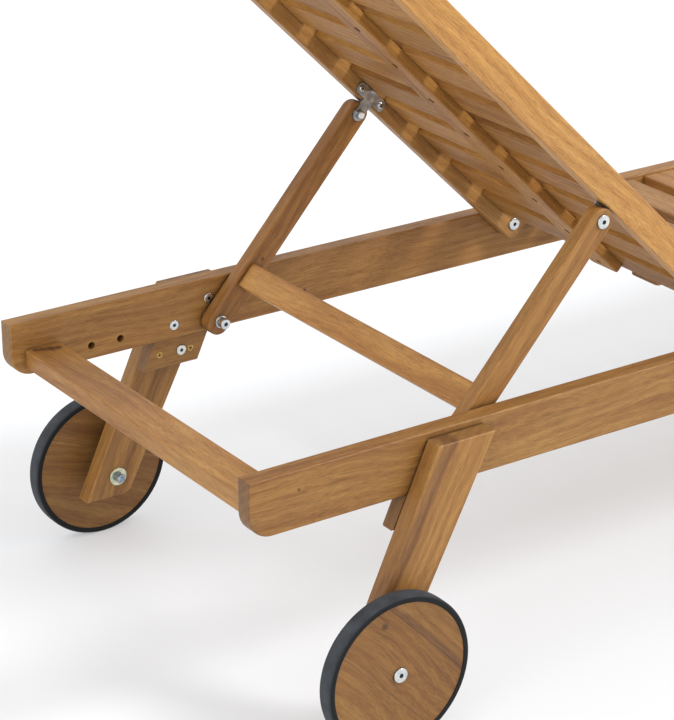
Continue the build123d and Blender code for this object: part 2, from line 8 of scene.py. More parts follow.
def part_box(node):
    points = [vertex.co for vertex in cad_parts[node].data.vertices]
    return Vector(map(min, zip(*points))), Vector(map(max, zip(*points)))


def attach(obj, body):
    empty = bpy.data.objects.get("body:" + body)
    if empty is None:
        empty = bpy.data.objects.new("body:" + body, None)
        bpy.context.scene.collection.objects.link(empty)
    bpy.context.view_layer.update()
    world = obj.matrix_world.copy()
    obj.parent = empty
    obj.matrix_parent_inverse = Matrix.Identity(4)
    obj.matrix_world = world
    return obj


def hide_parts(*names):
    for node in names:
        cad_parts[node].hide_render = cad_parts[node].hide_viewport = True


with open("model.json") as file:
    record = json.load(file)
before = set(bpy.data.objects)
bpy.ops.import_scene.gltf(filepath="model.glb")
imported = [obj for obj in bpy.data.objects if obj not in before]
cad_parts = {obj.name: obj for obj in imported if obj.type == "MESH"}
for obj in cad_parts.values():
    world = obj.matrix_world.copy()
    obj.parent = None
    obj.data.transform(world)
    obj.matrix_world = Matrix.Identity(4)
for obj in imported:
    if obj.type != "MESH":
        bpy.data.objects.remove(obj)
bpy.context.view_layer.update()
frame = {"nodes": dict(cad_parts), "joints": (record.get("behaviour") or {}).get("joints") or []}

# ---- Studio floor --------------------------------------------------------------
# A wide sheet of matt white board, a little uneven in tone, that carries the
# lounger and takes its soft shadow.


def wire(node, inputs):
    """Gives each input of a node its value, or links another node's output to it."""
    for key, value in inputs.items():
        if isinstance(value, bpy.types.NodeSocket):
            node.id_data.links.new(value, node.inputs[key])
        else:
            node.inputs[key].default_value = value


def started(name):
    """Starts a finish: the material, its shader, and a function that adds nodes."""
    finish = bpy.data.materials.new(name)
    finish.use_nodes = True
    nodes = finish.node_tree.nodes

    def add(kind, inputs, **settings):
        node = nodes.new("ShaderNode" + kind)
        for key, value in settings.items():
            setattr(node, key, value)
        wire(node, inputs)
        return node

    return finish, nodes["Principled BSDF"], add


def tones(add, fac, stops):
    """A colour ramp through stops of (position, colour)."""
    ramp = add("ValToRGB", {"Fac": fac})
    elements = ramp.color_ramp.elements
    while len(elements) < len(stops):
        elements.new(0.5)
    for element, (position, colour) in zip(elements, stops):
        element.position = position
        element.color = (*colour, 1)
    return ramp.outputs["Color"]


floor_size = 60
floor_gap = 0.0005
bpy.ops.object.select_all(action="DESELECT")
bpy.ops.mesh.primitive_plane_add(size=floor_size, location=(0, 0, -floor_gap))
floor = bpy.context.object
floor.name = "studio_floor"
bpy.ops.object.transform_apply(location=True, rotation=True, scale=True)
floor_board, floor_shader, add = started("floor_board")
floor_place = add("TexCoord", {}).outputs["Object"]
floor_cloud = add("TexNoise", {"Vector": floor_place, "Scale": 0.7}).outputs["Fac"]
floor_tones = ((0.0, (0.510, 0.520, 0.535)), (1.0, (0.530, 0.540, 0.555)))
wire(
    floor_shader,
    {
        "Base Color": tones(add, floor_cloud, floor_tones),
        "Roughness": 0.6,
        "Specular IOR Level": 0.2,
        "Emission Color": (1.0, 1.0, 1.0, 1),
        "Emission Strength": 0.33,
    },
)
floor.data.materials.append(floor_board)

# ---- Studio light --------------------------------------------------------------
# White light from all round, one broad key light high on the foot side that falls
# through the slats, and a weak fill from the head end.
sky = bpy.data.worlds.new("studio_sky")
bpy.context.scene.world = sky
sky.use_nodes = True
wire(sky.node_tree.nodes["Background"], {"Color": (1.0, 1.0, 1.0, 1), "Strength": 0.97})


def studio_sun(name, towards, strength, spread):
    """A far, broad lamp that shines on the lounger from this direction."""
    bpy.ops.object.light_add(type="SUN", location=Vector(towards) * 4)
    lamp = bpy.context.object
    lamp.name = name
    lamp.rotation_euler = Vector(towards).to_track_quat("Z", "Y").to_euler()
    lamp.data.energy = strength
    lamp.data.angle = math.radians(spread)


studio_sun("key_light", (0.62, -0.62, 0.68), 1.9, 14)
studio_sun("head_fill", (-0.85, -0.25, 0.45), 0.7, 40)
bpy.context.scene.view_settings.view_transform = "Standard"

# ---- Camera --------------------------------------------------------------------
# A long lens at eye height beyond the head end, on the lounger's right side, turned
# a little down towards the backrest's prop.
camera_spot = Vector((-2.3871, -2.5113, 1.6151))
camera_azimuth = math.radians(-34.4165)
camera_rise = math.radians(22.9138)
camera_lens = 133.82
camera_sensor = 36
camera_back = Vector(
    (
        math.sin(camera_azimuth) * math.cos(camera_rise),
        -math.cos(camera_azimuth) * math.cos(camera_rise),
        math.sin(camera_rise),
    )
)
bpy.ops.object.camera_add(location=camera_spot)
camera = bpy.context.object
camera.name = "camera"
camera.rotation_euler = (-camera_back).to_track_quat("-Z", "Y").to_euler()
camera.data.sensor_width = camera_sensor
camera.data.lens = camera_lens
bpy.context.scene.camera = camera

# ---- Side rails ----------------------------------------------------------------
# Two long boards of oiled acacia on edge, planed and eased all round. Mortises in
# their inner faces take the seat slats and crossbars; a pin knot shows here and there.


def spread(add, value, low, high, to_low=0.0, to_high=1.0, ease="LINEAR"):
    """Carries a value from one range to another, and holds it beyond the ends."""
    limits = {"From Min": low, "From Max": high, "To Min": to_low, "To Max": to_high}
    return add("MapRange", {"Value": value, **limits}, interpolation_type=ease).outputs[0]


def oiled_wood(name, centre, turn, seed, tone, red, glued=0.0, knots=(), bands=(), gloss=1.0):
    """Oiled hardwood for a board at this centre, turned so that its grain is its own X.

    tone is how light the board is, and red how ruddy. glued is the width of the strips
    in a panel of glued-up boards, knots are (x, y, z, radius) of pin knots, in the
    lounger's own axes, and bands are (offset across the board, half width, strength)
    of dark heartwood bands. gloss is lower on faces that were oiled less.
    """
    wood, shader, add = started(name)

    def mixed(factor, low, high, mode="MIX"):
        inputs = {0: factor, 6: low, 7: high}
        return add("Mix", inputs, data_type="RGBA", blend_type=mode).outputs[2]

    def times(colour, other):
        return mixed(1.0, colour, other, "MULTIPLY")

    def grey(shade):
        return add("CombineColor", {0: shade, 1: shade, 2: shade}).outputs[0]

    def number(operation, first, second=0.0, third=0.0):
        return add("Math", {0: first, 1: second, 2: third}, operation=operation).outputs[0]

    def vector(operation, first, second=(0.0, 0.0, 0.0)):
        node = add("VectorMath", {0: first, 1: second}, operation=operation)
        return node.outputs["Value" if operation in ("LENGTH", "DOT_PRODUCT") else "Vector"]

    def drawn_out(where, offset, scale):
        inputs = {"Vector": where, "Location": offset, "Scale": scale}
        return add("Mapping", inputs).outputs["Vector"]

    coordinates = add("TexCoord", {})
    place = coordinates.outputs["Object"]
    board = add(
        "Mapping",
        {"Vector": place, "Location": centre, "Rotation": turn},
        vector_type="TEXTURE",
    ).outputs["Vector"]
    panel = board

    # A glued-up panel: each strip is cut from another part of the plank.
    if glued:
        glue_line = 0.0009
        strip = number("DIVIDE", add("SeparateXYZ", {0: board}).outputs["Z"], glued)
        strip = number("ADD", strip, 0.5 + 0.13 * seed)
        from_middle = number("ABSOLUTE", number("SUBTRACT", number("FRACT", strip), 0.5))
        seam = spread(add, from_middle, 0.5 - glue_line / glued, 0.5)
        chance = add("TexWhiteNoise", {"W": number("FLOOR", strip)}, noise_dimensions="1D")
        shift = vector("MULTIPLY", chance.outputs["Color"], (0.9, 0.2, 0.2))
        board = vector("ADD", board, shift)

    # The grain sways a little from side to side along the board.
    sway_place = drawn_out(board, (seed * 1.9, seed * 4.3, seed * 2.7), (3.5, 8, 8))
    sway = add("TexNoise", {"Vector": sway_place, "Scale": 1.0, "Detail": 1.0}).outputs["Color"]
    sway = vector("SUBTRACT", sway, (0.5, 0.5, 0.5))
    sway = vector("MULTIPLY", sway, (0.0, 0.045, 0.045))
    board = vector("ADD", board, sway)
    panel = vector("ADD", panel, sway)

    def grain(along, across, detail, distortion=0.0, roughness=0.5):
        offset = (seed * 3.17, seed * 7.71, seed * 5.39)
        inputs = {
            "Vector": drawn_out(board, offset, (along, across, across)),
            "Scale": 1.0,
            "Detail": detail,
            "Roughness": roughness,
            "Distortion": distortion,
        }
        return add("TexNoise", inputs).outputs["Fac"]

    drift = grain(1.3, 24, 2, 0.4)
    streaks = grain(6, 135, 3, 0.3, 0.6)
    fibres = grain(30, 900, 2)
    pores = grain(90, 2600, 1)
    heart_place = (seed * 0.7, 0.045 + 0.01 * math.sin(seed * 2.3), 0.06)
    rings = add(
        "TexWave",
        {
            "Vector": drawn_out(board, heart_place, (0.07, 1, 1)),
            "Scale": 30.0,
            "Distortion": 7.0,
            "Detail": 3.0,
            "Detail Scale": 0.5,
        },
        wave_type="RINGS",
        rings_direction="X",
        wave_profile="SIN",
    ).outputs["Fac"]

    figure = number("MULTIPLY", drift, 0.52)
    figure = number("MULTIPLY_ADD", streaks, 0.30, figure)
    figure = number("MULTIPLY_ADD", rings, 0.08, figure)
    figure = number("MULTIPLY_ADD", fibres, 0.10, figure)
    oiled_tones = (
        (0.30, (0.195, 0.078, 0.0185)),
        (0.42, (0.275, 0.121, 0.0290)),
        (0.52, (0.335, 0.160, 0.0395)),
        (0.66, (0.405, 0.212, 0.0590)),
    )
    stops = [
        (position, (min(r * tone * red, 1), g * tone, b * tone / red))
        for position, (r, g, b) in oiled_tones
    ]
    colour = tones(add, figure, stops)

    pore_brown = (0.07, 0.032, 0.015, 1)
    heart_tint = (0.66, 0.58, 0.66, 1)
    band_tint = (0.58, 0.54, 0.68, 1)
    glue_brown = (0.06, 0.028, 0.014, 1)
    knot_brown = (0.055, 0.025, 0.014, 1)
    end_grain_brown = (0.085, 0.045, 0.022, 1)
    # Painted shade: the dark brown that creases and recesses are darkened towards.
    painted_crease_shade = (0.030, 0.015, 0.008, 1)
    # Painted highlight: the tint that lightens the eased edges.
    painted_edge_highlight = (1.32, 1.30, 1.25, 1)

    colour = times(colour, grey(spread(add, fibres, 0.35, 0.6, 0.82, 1.06)))
    pore_mask = spread(add, pores, 0.60, 0.68)
    colour = mixed(number("MULTIPLY", pore_mask, 0.45), colour, pore_brown)
    heart = spread(add, grain(0.9, 19, 1, 0.3), 0.57, 0.68)
    colour = mixed(number("MULTIPLY", heart, 0.45), colour, times(colour, heart_tint))
    for offset, reach, strength in bands:
        across_panel = add("SeparateXYZ", {0: panel}).outputs["Z"]
        from_band = number("ABSOLUTE", number("SUBTRACT", across_panel, offset))
        band = spread(add, from_band, reach, reach * 0.4, ease="SMOOTHSTEP")
        colour = mixed(number("MULTIPLY", band, strength), colour, times(colour, band_tint))
    if glued:
        strip_shade = spread(add, chance.outputs["Value"], 0.0, 1.0, 0.74, 1.12)
        colour = times(colour, grey(strip_shade))
        colour = mixed(number("MULTIPLY", seam, 0.5), colour, glue_brown)
    for x, y, z, radius in knots:
        away = vector("LENGTH", vector("SUBTRACT", place, (x, y, z)))
        spot = spread(add, away, radius * 2.2, radius * 0.5, ease="SMOOTHSTEP")
        colour = mixed(number("MULTIPLY", spot, 0.85), colour, knot_brown)

    # Darker end grain, painted shade in the creases and recesses, and a painted highlight along
    # the eased edges.
    grain_axis = Euler(turn).to_matrix() @ Vector((1, 0, 0))
    endwise = vector("DOT_PRODUCT", coordinates.outputs["Normal"], tuple(grain_axis))
    end_grain = spread(add, number("ABSOLUTE", endwise), 0.6, 0.95, 0.0, 0.42)
    colour = mixed(end_grain, colour, end_grain_brown)
    # Painted shade: the colour is darkened wherever ambient occlusion finds a crease or recess
    # close by.
    crease = add("AmbientOcclusion", {"Distance": 0.007}, samples=4).outputs["AO"]
    colour = mixed(spread(add, crease, 0.30, 0.80, 0.75, 0.0), colour, painted_crease_shade)
    # Painted highlight: the colour is lightened along the eased edges, where the bevelled normal
    # turns away from the face's own.
    eased = add("Bevel", {"Radius": 0.003}, samples=4).outputs[0]
    facing = add("NewGeometry", {}).outputs["Normal"]
    edge = spread(add, vector("DOT_PRODUCT", eased, facing), 0.995, 0.90, 0.0, 0.35)
    colour = mixed(edge, colour, times(colour, painted_edge_highlight))

    height = number("MULTIPLY_ADD", fibres, 0.6, number("MULTIPLY", pore_mask, -0.5))
    if glued:
        height = number("MULTIPLY_ADD", seam, -1.0, height)
    bump = add("Bump", {"Height": height, "Strength": 0.35, "Distance": 0.0004})
    wire(
        shader,
        {
            "Base Color": colour,
            "Roughness": spread(add, fibres, 0.3, 0.7, 0.56, 0.40),
            "Normal": bump.outputs["Normal"],
            "Specular IOR Level": 0.32 * gloss,
            "Coat Weight": 0.06 * gloss,
            "Coat Roughness": 0.35,
        },
    )
    return wood


def middle(node):
    """Middle of a CAD node's box, in metres."""
    low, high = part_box(node)
    return (low + high) / 2


def oil(node, turn, seed, tone=1.0, red=1.0, **figure):
    """Gives a wooden CAD node its own board's finish."""
    mesh = frame["nodes"][node].data
    mesh.materials.clear()
    mesh.materials.append(
        oiled_wood(node + "_oil", middle(node), turn, seed, tone, red, **figure)
    )


along_x = (0.0, 0.0, 0.0)
along_y = (0.0, 0.0, math.pi / 2)
left_knots = ((-0.5387, 0.264, 0.3063, 0.0022), (-0.12, 0.264, 0.34, 0.003))
right_knots = ((-0.9147, -0.288, 0.3323, 0.0014), (-0.36, -0.288, 0.312, 0.004))
oil("rail_left", along_x, 1.3, knots=left_knots)
oil("rail_right", along_x, 2.9, 0.84, knots=right_knots)

# ---- Crossbars -----------------------------------------------------------------
# Flat boards of oiled acacia tenoned between the rails near each end. The lowered
# backrest rests on the one at the head end.
bar_end_knots = (
    (-0.9490, 0.2560, 0.3200, 0.0028),
    (-0.9410, 0.2535, 0.3200, 0.0036),
    (-0.9310, 0.2500, 0.3200, 0.0050),
    (-0.9215, 0.2480, 0.3200, 0.0036),
)
oil("crossbar_head", along_y, 4.1, 1.06, knots=bar_end_knots)
oil("crossbar_foot", along_y, 5.6, 0.97)

# ---- Seat slats ----------------------------------------------------------------
# Fifteen eased boards of oiled acacia across the rails, cut from different planks,
# so that each has its own tone and figure. Stub tenons hold them in the rails.
slat_tones = (
    0.84, 1.02, 0.94, 1.10, 0.90, 1.04, 0.97, 1.12, 0.88, 1.0, 1.06, 0.92, 1.08, 0.95, 1.01,
)
for count, slat_tone in enumerate(slat_tones, 1):
    slat_red = 1.0 + 0.05 * math.sin(count * 2.1)
    oil(f"seat_slat_{count:02d}", along_y, 7.0 + 1.37 * count, slat_tone, slat_red)

# ---- Seat batten ---------------------------------------------------------------
# A flat board of oiled acacia under the middle of the seat, screwed to every slat
# to tie them together.
oil("seat_batten", along_x, 31.0, 0.98)

# ---- Legs ----------------------------------------------------------------------
# Four slanting boards of oiled acacia bolted outside the rails, a little narrower
# towards the floor, with the grain running down the slant.
leg_slant = math.atan2(1.0, 0.485)
wheel_leg_turn = (0.0, -leg_slant, 0.0)
foot_leg_turn = (0.0, leg_slant - math.pi, 0.0)
left_leg_bands = ((-0.006, 0.011, 0.55), (0.020, 0.006, 0.35))
right_leg_bands = ((0.0265, 0.0125, 0.80),)
oil("wheel_leg_left", wheel_leg_turn, 41.0, 0.93, bands=left_leg_bands)
oil("wheel_leg_right", wheel_leg_turn, 43.2, 0.98, bands=right_leg_bands)
oil("foot_leg_left", foot_leg_turn, 45.4)
oil("foot_leg_right", foot_leg_turn, 47.6, 0.9)

# ---- Leg cleats ----------------------------------------------------------------
# Short boards of oiled acacia screwed and bolted behind the legs, under the rails.
# Their grain runs along the rails.
oil("leg_cleats", along_x, 52.0, 0.74, 1.05)

# ---- Leg bolts -----------------------------------------------------------------
# Zinc-plated bolts with broad flat heads and a hexagon socket, three to a leg. The
# plating is bright with a faint blue and yellow cast; the socket's inside is painted dark as
# painted shade.


def plated(name, cool, warm, low_rough, high_rough, mottle):
    """Plated metal, mottled between two casts and in its gloss."""
    metal, shader, add = started(name)
    place = add("TexCoord", {}).outputs["Object"]
    cloud = add("TexNoise", {"Vector": place, "Scale": mottle, "Detail": 3}).outputs["Fac"]
    grit = add("TexNoise", {"Vector": place, "Scale": mottle * 6}).outputs["Fac"]
    bump = add("Bump", {"Height": grit, "Strength": 0.05, "Distance": 0.00002})
    wire(
        shader,
        {
            "Base Color": tones(add, cloud, ((0.38, cool), (0.62, warm))),
            "Metallic": 1.0,
            "Roughness": spread(add, cloud, 0.3, 0.7, low_rough, high_rough),
            "Normal": bump.outputs["Normal"],
        },
    )
    return metal


def round_stock(radius, near, far, sides=40, rim=0.0, start=None):
    """A round bar along Y from near to far, with its far rim rounded."""
    bpy.ops.object.select_all(action="DESELECT")
    bpy.ops.mesh.primitive_cone_add(
        vertices=sides,
        radius1=radius if start is None else start,
        radius2=radius,
        depth=far - near,
        location=(0, (near + far) / 2, 0),
        rotation=(-math.pi / 2, 0, 0),
    )
    bar = bpy.context.object
    bpy.ops.object.transform_apply(location=True, rotation=True, scale=True)
    if rim:
        bpy.ops.object.mode_set(mode="EDIT")
        bpy.ops.mesh.select_mode(type="EDGE")
        bpy.ops.mesh.select_all(action="DESELECT")
        bpy.ops.object.mode_set(mode="OBJECT")
        corners = bar.data.vertices
        for edge in bar.data.edges:
            edge.select = all(corners[corner].co.y > far - 1e-6 for corner in edge.vertices)
        bpy.ops.object.mode_set(mode="EDIT")
        bpy.ops.mesh.bevel(offset=rim, segments=4, affect="EDGES")
        bpy.ops.object.mode_set(mode="OBJECT")
    return bar


def carved(body, cutter, operation="DIFFERENCE"):
    """Cuts one shape with another, which is used up."""
    cut = body.modifiers.new("cut", "BOOLEAN")
    cut.operation = operation
    cut.solver = "EXACT"
    cut.object = cutter
    bpy.ops.object.select_all(action="DESELECT")
    bpy.context.view_layer.objects.active = body
    bpy.ops.object.modifier_apply(modifier=cut.name)
    bpy.data.objects.remove(cutter)
    return body


def darkened(head, far, reach, finishes):
    """Gives a head its first finish, and the faces inside its recess the second, a dark finish
    that paints the recess's shade.
    """
    for finish in finishes:
        head.data.materials.append(finish)
    for face in head.data.polygons:
        inside = math.hypot(face.center.x, face.center.z) < reach
        face.material_index = 1 if inside and face.center.y < far - 1e-5 else 0
    return head


def socket_head(radius, thick, rim, socket, depth=0.0016):
    """A round zinc head on the origin towards +Y, with a hexagon socket."""
    head = round_stock(radius, 0, thick, rim=rim)
    key = round_stock(socket, thick - depth, thick + 0.001, sides=6)
    return darkened(carved(head, key), thick, socket * 1.01, zinc)


def as_one(pieces, name):
    """Joins shapes into one piece that keeps its place in its mesh."""
    bpy.ops.object.select_all(action="DESELECT")
    for piece in pieces:
        piece.select_set(True)
    bpy.context.view_layer.objects.active = pieces[0]
    if len(pieces) > 1:
        bpy.ops.object.join()
    bpy.ops.object.transform_apply(location=True, rotation=True, scale=True)
    bpy.context.object.name = name
    bpy.ops.object.shade_smooth_by_angle(angle=math.radians(32))
    return bpy.context.object


def set_out(model, name, spots):
    """Copies a fastener to each (place, way that its head faces, turn about itself)."""
    copies = []
    for place, facing, turn in spots:
        copy = model.copy()
        copy.data = model.data.copy()
        bpy.context.collection.objects.link(copy)
        copy.location = place
        copy.rotation_mode = "QUATERNION"
        aim = Vector((0, 1, 0)).rotation_difference(Vector(facing))
        copy.rotation_quaternion = aim @ Quaternion((0, 1, 0), turn)
        copies.append(copy)
    bpy.data.objects.remove(model)
    return as_one(copies, name)


def belongs(piece, body, slot, finishes, *stands_for):
    """Finishes a bare piece and fixes it to its body, in place of CAD nodes."""
    if not any(piece.data.materials):
        piece.data.materials.clear()
        for finish in finishes:
            piece.data.materials.append(finish)
    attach(piece, body)
    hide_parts(*stands_for)


zinc = [
    plated("zinc_plate", (0.52, 0.57, 0.62), (0.70, 0.69, 0.62), 0.16, 0.32, 170),
    # The second finish is painted shade for the inside of sockets and recesses.
    plated("zinc_shadow", (0.05, 0.065, 0.085), (0.12, 0.12, 0.11), 0.45, 0.6, 170),
]
leg_bolt = as_one(
    [socket_head(0.0070, 0.0022, 0.0009, 0.0026), round_stock(0.003, -0.038, 0.0001, 20)],
    "leg_bolt",
)
# Each bolt's distance from the rail's end, its height, and where its head sits.
leg_bolt_seats = ((0.2385, 0.303, 0.2662), (0.2905, 0.330, 0.264), (0.2495, 0.265, 0.268))
head_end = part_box("rail_left")[0].x
leg_bolt_spots = [
    ((end * (head_end + along), side * seat, height), (0, -side, 0), 9 * along + side)
    for end in (1, -1)
    for side in (1, -1)
    for along, height, seat in leg_bolt_seats
]
leg_bolts = set_out(leg_bolt, "leg_bolts_plated", leg_bolt_spots)
belongs(leg_bolts, "frame", "zinc", zinc, "leg_bolts")

# ---- Cleat screws --------------------------------------------------------------
# Countersunk brass wood screws with a cross recess, two to a cleat, driven flush
# with the cleats' faces.


def cross_head(head, far, reach, width, depth, finishes):
    """Cuts a cross recess into a head's far face."""
    for wide, tall in ((width, 2 * reach), (2 * reach, width)):
        bpy.ops.object.select_all(action="DESELECT")
        bpy.ops.mesh.primitive_cube_add(size=1, location=(0, far - depth / 2 + 0.0005, 0))
        blade = bpy.context.object
        blade.scale = (wide, depth + 0.001, tall)
        bpy.ops.object.transform_apply(location=True, rotation=True, scale=True)
        carved(head, blade)
    return darkened(head, far, reach * 1.01, finishes)


brass = [
    plated("brass", (0.36, 0.21, 0.06), (0.54, 0.35, 0.13), 0.26, 0.42, 220),
    # The second finish is painted shade for the inside of the cross recesses.
    plated("brass_shadow", (0.05, 0.03, 0.012), (0.10, 0.06, 0.025), 0.45, 0.6, 220),
]
sunk_head = round_stock(0.0047, -0.0027, 0, 36, rim=0.0004, start=0.002)
brass_screw = as_one(
    [
        cross_head(sunk_head, 0, 0.0029, 0.0011, 0.0013, brass),
        round_stock(0.002, -0.031, -0.0026, 16, start=0.0006),
    ],
    "brass_screw",
)
cleat_face = 0.268
cleat_screw_spots = [
    ((end * (head_end + along), side * cleat_face, height), (0, -side, 0), turn)
    for end in (1, -1)
    for side in (1, -1)
    for along, height, turn in ((0.2175, 0.2645, 0.25), (0.2645, 0.2640, 1.1))
]
cleat_screws = set_out(brass_screw, "cleat_screws_brass", cleat_screw_spots)
belongs(cleat_screws, "frame", "brass", brass, "cleat_screws")

# ---- Seat batten screws --------------------------------------------------------
# Zinc-plated pan-head screws with a cross recess, sunk up into the batten under
# every slat.
screw_sunk = 0.004


def pan_screw():
    """A pan-head screw at the origin, its head towards +Y."""
    head = round_stock(0.0044, 0, 0.0022, 36, rim=0.0013)
    return as_one(
        [
            cross_head(head, 0.0022, 0.0025, 0.0010, 0.0012, zinc),
            round_stock(0.002, -0.016, 0.0001, 16, start=0.0006),
        ],
        "pan_screw",
    )


seat_screw_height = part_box("seat_batten")[0].z + screw_sunk
seat_screw_spots = [
    ((middle(f"seat_slat_{count + 1:02d}").x, 0, seat_screw_height), (0, 0, -1), 0.4 * count)
    for count in range(len(slat_tones))
]
seat_screws = set_out(pan_screw(), "seat_batten_screws_pan", seat_screw_spots)
belongs(seat_screws, "frame", "zinc", zinc, "seat_batten_screws")

# ---- Backrest pivot bolts ------------------------------------------------------
# Zinc-plated bolts with broad flat heads on the stiles' inner faces, through stile
# and rail. The backrest turns on them.
lounger_joints = {joint["name"]: joint for joint in frame["joints"]}
backrest_pivot = Vector(lounger_joints["backrest_recline"]["pos_m"])


def both_sides(place, out, turn=0.0, way=-1):
    """Spots this far out on both sides of a place, facing inwards, or out with way 1."""
    return [(place + Vector((0, side * out, 0)), (0, side * way, 0), turn) for side in (1, -1)]


pivot_bolt = as_one(
    [socket_head(0.0087, 0.0024, 0.0011, 0.0030), round_stock(0.004, -0.041, 0.0001, 24)],
    "pivot_bolt",
)
pivot_bolt_face = 0.2398
pivot_bolt_spots = both_sides(backrest_pivot, pivot_bolt_face, 0.4)
pivot_bolts = set_out(pivot_bolt, "backrest_pivot_bolts_plated", pivot_bolt_spots)
belongs(pivot_bolts, "frame", "zinc", zinc, "backrest_pivot_bolts")

# ---- Washers -------------------------------------------------------------------
# Turned zinc-plated rings: thick ones between stile and rail, and broad yellowish
# ones under the axle nuts.


def ring(radius, bore, thick, rim):
    """A washer on the origin, its eased face towards +Y."""
    disc = round_stock(radius, 0, thick, 48, rim=rim)
    return carved(disc, round_stock(bore, -0.001, thick + 0.001, 48))


rail_inner, rail_outer = (corner.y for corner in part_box("rail_left"))
bolt_bore = 0.0041
washer_thick = 0.0018
wheel_middle = Vector(lounger_joints["wheel_left_roll"]["pos_m"])
axle = Vector((wheel_middle.x, 0, wheel_middle.z))
pivot_washer = ring(0.009, bolt_bore, 0.0038, 0.0005)
pivot_washers = set_out(pivot_washer, "pivot_washers", both_sides(backrest_pivot, rail_inner))
axle_washer = ring(0.0125, bolt_bore, washer_thick, 0.0006)
axle_washers = set_out(axle_washer, "axle_washers", both_sides(axle, rail_outer))
passivated = plated("zinc_passivated", (0.50, 0.54, 0.40), (0.74, 0.70, 0.50), 0.18, 0.34, 120)
frame_washers = as_one([pivot_washers, axle_washers], "frame_washers_plated")
belongs(frame_washers, "frame", "zinc", [passivated], "frame_washers")

# ---- Axles ---------------------------------------------------------------------
# Bolts from a flat head outside the disc, through spacer and leg, to a hexagonal lock
# nut with a plain round collar. The bolt's sawn tip is a darker blue.
bolt_tip = round_stock(0.004, -0.0752, -0.0742, 24, start=0.0032)
bolt_tip.data.materials.append(
    plated("zinc_tip", (0.16, 0.24, 0.32), (0.30, 0.38, 0.46), 0.25, 0.40, 170)
)
axle_bolt = as_one(
    [
        socket_head(0.0093, 0.0024, 0.0012, 0.0031),
        round_stock(0.004, -0.0742, 0.0001, 24),
        bolt_tip,
    ],
    "axle_bolt",
)
axle_bolt_face = 0.3514
axle_bolt_spots = [
    (axle + Vector((0, side * axle_bolt_face, 0)), (0, side, 0), 0.2 + side) for side in (1, -1)
]
axle_bolts = set_out(axle_bolt, "axle_bolts_plated", axle_bolt_spots)
belongs(axle_bolts, "frame", "zinc", zinc, "axle_bolts")


def hexagon_nut(radius, thick):
    """A nut on the origin towards +Y, its corners turned off on the far side."""
    turned_blank = round_stock(radius, -0.0001, thick, 48, rim=0.14 * radius)
    return carved(round_stock(radius, 0, thick, 6), turned_blank, "INTERSECT")


def bored(piece, depth):
    """Bores a bolt's hole through a piece along Y."""
    return carved(piece, round_stock(bolt_bore, -0.001, depth + 0.001, 32))


zinc_dull = plated("zinc_dull", (0.36, 0.41, 0.46), (0.50, 0.51, 0.49), 0.26, 0.42, 110)
zinc_nut = plated("zinc_nut", (0.22, 0.27, 0.32), (0.40, 0.43, 0.44), 0.22, 0.38, 110)
lock_nut = as_one(
    [
        bored(hexagon_nut(0.0075, 0.006), 0.006),
        bored(round_stock(0.0062, 0.0055, 0.008, 40, rim=0.0009), 0.008),
    ],
    "lock_nut",
)
axle_nut_spots = both_sides(axle, rail_outer - washer_thick, 0.35)
axle_nuts = set_out(lock_nut, "axle_nuts_plated", axle_nut_spots)
belongs(axle_nuts, "frame", "zinc", [zinc_nut], "axle_nuts")

leg_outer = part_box("wheel_leg_left")[1].y
spacer = ring(0.011, bolt_bore, 0.0176, 0.0006)
spacers = set_out(spacer, "axle_spacers_plated", both_sides(axle, leg_outer, way=1))
belongs(spacers, "frame", "zinc", [zinc[0]], "axle_spacers")

# ---- Wheel discs ---------------------------------------------------------------
# Wooden discs turned from panels of glued-up boards. The seams run across each disc
# and every strip has its own tone.
left_disc_turn = (0, math.radians(21), 0)
right_disc_turn = (0, math.radians(45.5), 0)
oil("wheel_disc_left", left_disc_turn, 62.9, 0.63, 1.04, glued=0.0775)
oil(
    "wheel_disc_right", right_disc_turn, 60.19, 0.68, 1.03, glued=0.0755,
    bands=((0.047, 0.009, 0.9),), knots=((-0.8416, -0.351, 0.1665, 0.0030),),
)

# ---- Tyres ---------------------------------------------------------------------
# Black rubber channels stretched over the discs, with a crowned tread and a low
# rounded lip on each face. Dust greys the tread.
rubber, rubber_shader, add = started("tyre_rubber")
rubber_place = add("TexCoord", {}).outputs["Object"]
at_axle = add("Mapping", {"Vector": rubber_place, "Location": -axle}).outputs["Vector"]
at_axle = add("VectorMath", {0: at_axle, 1: (1, 0, 1)}, operation="MULTIPLY").outputs["Vector"]
from_axle = add("VectorMath", {0: at_axle}, operation="LENGTH").outputs["Value"]
tread = spread(add, from_axle, 0.0955, 0.0980)
dust = add("TexNoise", {"Vector": rubber_place, "Scale": 55, "Detail": 5}).outputs["Fac"]
dusty = add("Math", {0: tread, 1: dust}, operation="MULTIPLY").outputs[0]
pits = add("TexNoise", {"Vector": rubber_place, "Scale": 1500}).outputs["Fac"]
pitted = add("Bump", {"Height": pits, "Strength": 0.3, "Distance": 0.0003})
rubber_tones = ((0.0, (0.006, 0.0065, 0.0075)), (1.0, (0.078, 0.087, 0.100)))
wire(
    rubber_shader,
    {
        "Base Color": tones(add, dusty, rubber_tones),
        "Roughness": spread(add, dust, 0.0, 1.0, 0.5, 0.8),
        "Normal": pitted.outputs["Normal"],
        "Specular IOR Level": 0.22,
    },
)

